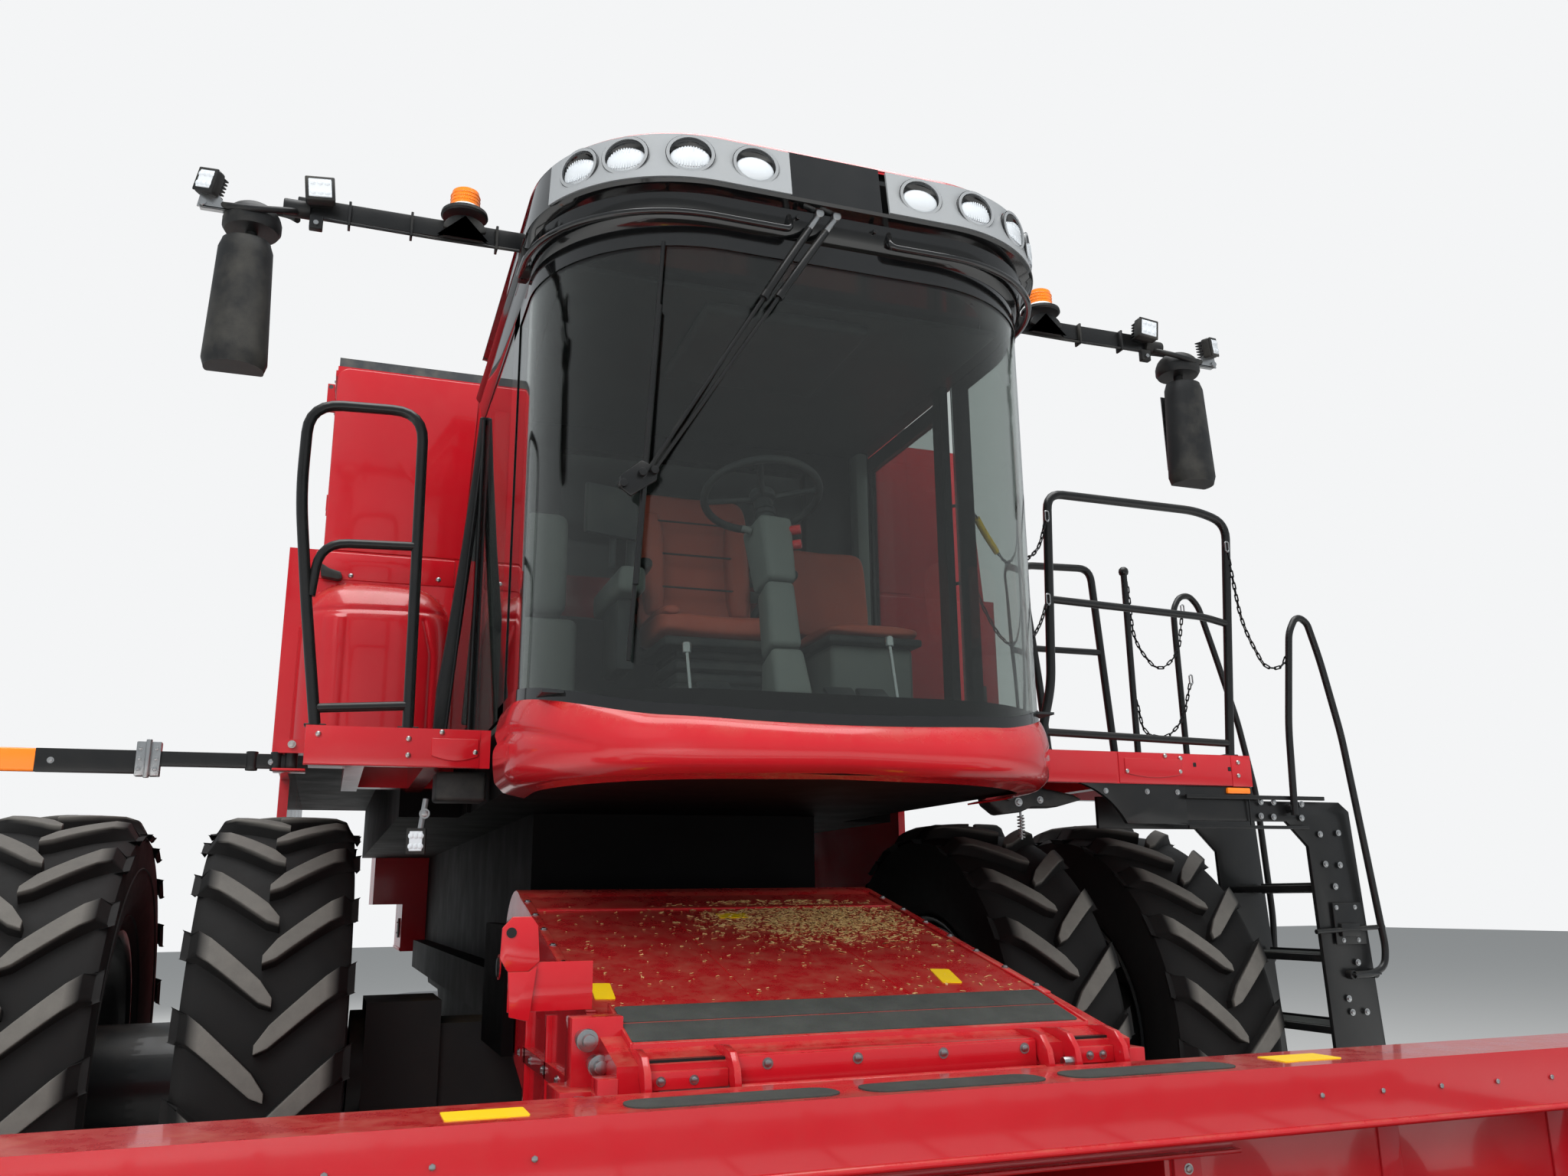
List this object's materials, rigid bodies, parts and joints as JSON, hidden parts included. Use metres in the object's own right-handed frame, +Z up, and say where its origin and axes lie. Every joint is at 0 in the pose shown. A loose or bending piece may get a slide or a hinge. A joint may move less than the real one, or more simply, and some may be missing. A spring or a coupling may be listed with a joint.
{
  "type": "combine harvester",
  "caption": "Self-propelled combine harvester with a belt pickup header, twin front wheels, steered rear axle, glazed cab, grain tank and unloading tube.",
  "frame": {"origin": "on the ground under the middle of the whole machine, header and folded unloading tube included", "axes": "+Z up, -Y is forward (the header), +X is the left side of the machine, with the ladder and the unloading tube"},
  "size_m": [5.6271, 11.1448, 3.94],
  "materials": {
    "red_paint": "glossy red paint with dust",
    "black_paint": "satin black paint",
    "frame_paint": "satin dark grey chassis paint",
    "rim_paint": "dark rim paint",
    "roof_gloss": "glossy black moulding",
    "trim_plastic": "dark matt plastic",
    "cover_plastic": "dark grey weathered plastic",
    "cab_window": "green tinted glass",
    "seat_cover": "brown red leather",
    "tyre_rubber": "black tyre rubber with dust",
    "belt_rubber": "black ribbed belt rubber",
    "rod_chrome": "hard chrome",
    "cast_block": "painted casting",
    "amber_lens": "amber plastic",
    "lamp_lens": "clear lens over a bright reflector",
    "worn_steel": "steel worn bright by the crop"
  },
  "bodies": {
    "machine": {"chassis_frame": "frame_paint", "separator_body": "frame_paint", "front_axle": "frame_paint", "rear_axle": "frame_paint", "grain_tank": "red_paint", "engine_block": "cast_block", "engine_hood": "red_paint", "rear_hood": "red_paint", "body_panels": "red_paint", "cab_base": "black_paint", "front_bumper": "red_paint", "cab_frame": "black_paint", "cab_roof": "roof_gloss", "roof_cap": "red_paint", "cab_glass": "cab_window", "seats": "seat_cover", "cab_console": "trim_plastic", "platforms": "red_paint", "handrails": "black_paint", "ladder": "black_paint", "mirrors": "black_paint", "beacons": "amber_lens", "lamps": "lamp_lens", "unload_turret": "red_paint"},
    "front_wheels_left": {"wheels_front_left": "rim_paint", "tyres_front_left": "tyre_rubber"},
    "front_wheels_right": {"wheels_front_right": "rim_paint", "tyres_front_right": "tyre_rubber"},
    "steer_knuckle_left": {"knuckle_left": "frame_paint"},
    "steer_knuckle_right": {"knuckle_right": "frame_paint"},
    "rear_wheel_left_body": {"wheel_rear_left": "rim_paint", "tyre_rear_left": "tyre_rubber"},
    "rear_wheel_right_body": {"wheel_rear_right": "rim_paint", "tyre_rear_right": "tyre_rubber"},
    "steer_rod_body": {"steering_rod": "rod_chrome"},
    "feeder_and_header": {"feeder_house": "red_paint", "header_frame": "red_paint", "header_adapter": "red_paint", "pickup_belts": "belt_rubber"},
    "auger_body": {"header_auger": "worn_steel"},
    "windguard_body": {"windguard": "black_paint"},
    "gauge_left_body": {"gauge_wheel_left": "black_paint"},
    "gauge_right_body": {"gauge_wheel_right": "black_paint"},
    "lift_barrel_body": {"lift_barrels": "black_paint"},
    "lift_rod_body": {"lift_rods": "rod_chrome"},
    "cab_door_body": {"cab_door": "black_paint", "cab_door_glass": "cab_window"},
    "unload_body": {"unload_tube": "red_paint"},
    "cover_left_body": {"tank_cover_left": "cover_plastic"},
    "cover_right_body": {"tank_cover_right": "cover_plastic"},
    "screen_body": {"air_screen": "black_paint"},
    "spreader_left_body": {"spreader_left": "worn_steel"},
    "spreader_right_body": {"spreader_right": "worn_steel"},
    "side_door_left_body": {"side_door_left": "red_paint"},
    "side_door_right_body": {"side_door_right": "red_paint"},
    "warning_arm_body": {"warning_arm": "amber_lens"}
  },
  "joints": [
    {"name": "front_wheel_spin_left", "type": "hinge", "parent": "machine", "child": "front_wheels_left", "pos_m": [1.382, -0.7275, 0.975], "axis": [1, 0, 0], "continuous": true},
    {"name": "front_wheel_spin_right", "type": "hinge", "parent": "machine", "child": "front_wheels_right", "pos_m": [-1.658, -0.7275, 0.975], "axis": [1, 0, 0], "continuous": true},
    {"name": "steer_left", "type": "hinge", "parent": "machine", "child": "steer_knuckle_left", "pos_m": [0.862, 3.0425, 0.745], "axis": [0, 0, 1], "range_deg": [-32, 32]},
    {"name": "steer_right", "type": "hinge", "parent": "machine", "child": "steer_knuckle_right", "pos_m": [-1.138, 3.0425, 0.745], "axis": [0, 0, 1], "range_deg": [-32, 32]},
    {"name": "steering_rod_slide", "type": "slide", "parent": "machine", "child": "steer_rod_body", "axis": [1, 0, 0], "range_m": [-0.1462, 0.1462]},
    {"name": "rear_wheel_spin_left", "type": "hinge", "parent": "steer_knuckle_left", "child": "rear_wheel_left_body", "pos_m": [1.362, 3.0425, 0.745], "axis": [1, 0, 0], "continuous": true},
    {"name": "rear_wheel_spin_right", "type": "hinge", "parent": "steer_knuckle_right", "child": "rear_wheel_right_body", "pos_m": [-1.638, 3.0425, 0.745], "axis": [1, 0, 0], "continuous": true},
    {"name": "feeder_lift", "type": "hinge", "parent": "machine", "child": "feeder_and_header", "pos_m": [-0.138, -1.4275, 1.38], "axis": [-1, 0, 0], "range_deg": [0, 18]},
    {"name": "auger_spin", "type": "hinge", "parent": "feeder_and_header", "child": "auger_body", "pos_m": [-0.138, -3.8075, 0.64], "axis": [1, 0, 0], "continuous": true},
    {"name": "windguard_lift", "type": "hinge", "parent": "feeder_and_header", "child": "windguard_body", "pos_m": [-0.138, -4.1275, 0.88], "axis": [-1, 0, 0], "range_deg": [0, 30]},
    {"name": "gauge_wheel_spin_left", "type": "hinge", "parent": "feeder_and_header", "child": "gauge_left_body", "pos_m": [2.302, -4.8775, 0.25], "axis": [1, 0, 0], "continuous": true},
    {"name": "gauge_wheel_spin_right", "type": "hinge", "parent": "feeder_and_header", "child": "gauge_right_body", "pos_m": [-2.578, -4.8775, 0.25], "axis": [1, 0, 0], "continuous": true},
    {"name": "lift_barrel_pivot", "type": "hinge", "parent": "machine", "child": "lift_barrel_body", "pos_m": [-0.138, -0.9575, 0.8], "axis": [-1, 0, 0], "range_deg": [0, 13.17]},
    {"name": "lift_rod_slide", "type": "slide", "parent": "lift_barrel_body", "child": "lift_rod_body", "axis": [0, -0.9954, -0.0954], "range_m": [0, 0.1798]},
    {"name": "cab_door_swing", "type": "hinge", "parent": "machine", "child": "cab_door_body", "pos_m": [0.752, -1.1775, 2.89], "axis": [0, 0, 1], "range_deg": [0, 85]},
    {"name": "unload_swing", "type": "hinge", "parent": "machine", "child": "unload_body", "pos_m": [1.392, -0.2275, 3.37], "axis": [0, 0, -1], "range_deg": [0, 95]},
    {"name": "tank_cover_left_swing", "type": "hinge", "parent": "machine", "child": "cover_left_body", "pos_m": [1.172, 0.2725, 3.92], "axis": [0, 1, 0], "range_deg": [0, 100]},
    {"name": "tank_cover_right_swing", "type": "hinge", "parent": "machine", "child": "cover_right_body", "pos_m": [-1.638, 0.2725, 3.92], "axis": [0, -1, 0], "range_deg": [0, 100]},
    {"name": "air_screen_spin", "type": "hinge", "parent": "machine", "child": "screen_body", "pos_m": [-1.263, 2.7725, 2.83], "axis": [1, 0, 0], "continuous": true},
    {"name": "spreader_spin_left", "type": "hinge", "parent": "machine", "child": "spreader_left_body", "pos_m": [0.262, 4.5725, 1], "axis": [0, 0, 1], "continuous": true},
    {"name": "spreader_spin_right", "type": "hinge", "parent": "machine", "child": "spreader_right_body", "pos_m": [-0.538, 4.5725, 1], "axis": [0, 0, 1], "continuous": true},
    {"name": "side_door_left_swing", "type": "hinge", "parent": "machine", "child": "side_door_left_body", "pos_m": [1.634, 0.3775, 2], "axis": [0, 0, 1], "range_deg": [-90, 0]},
    {"name": "side_door_right_swing", "type": "hinge", "parent": "machine", "child": "side_door_right_body", "pos_m": [-1.76, 0.3775, 2], "axis": [0, 0, 1], "range_deg": [0, 90]},
    {"name": "warning_arm_fold", "type": "hinge", "parent": "machine", "child": "warning_arm_body", "pos_m": [-1.638, -1.7275, 2.09], "axis": [0, 0, 1], "range_deg": [0, 85]}
  ],
  "couplings": [
    {"joint": "steer_right", "follows": "steer_left", "ratio": 1},
    {"joint": "steering_rod_slide", "follows": "steer_left", "m_per_rad": 0.26},
    {"joint": "lift_barrel_pivot", "follows": "feeder_lift", "ratio": 0.72888},
    {"joint": "lift_rod_slide", "follows": "feeder_lift", "m_per_rad": 0.56915}
  ]
}
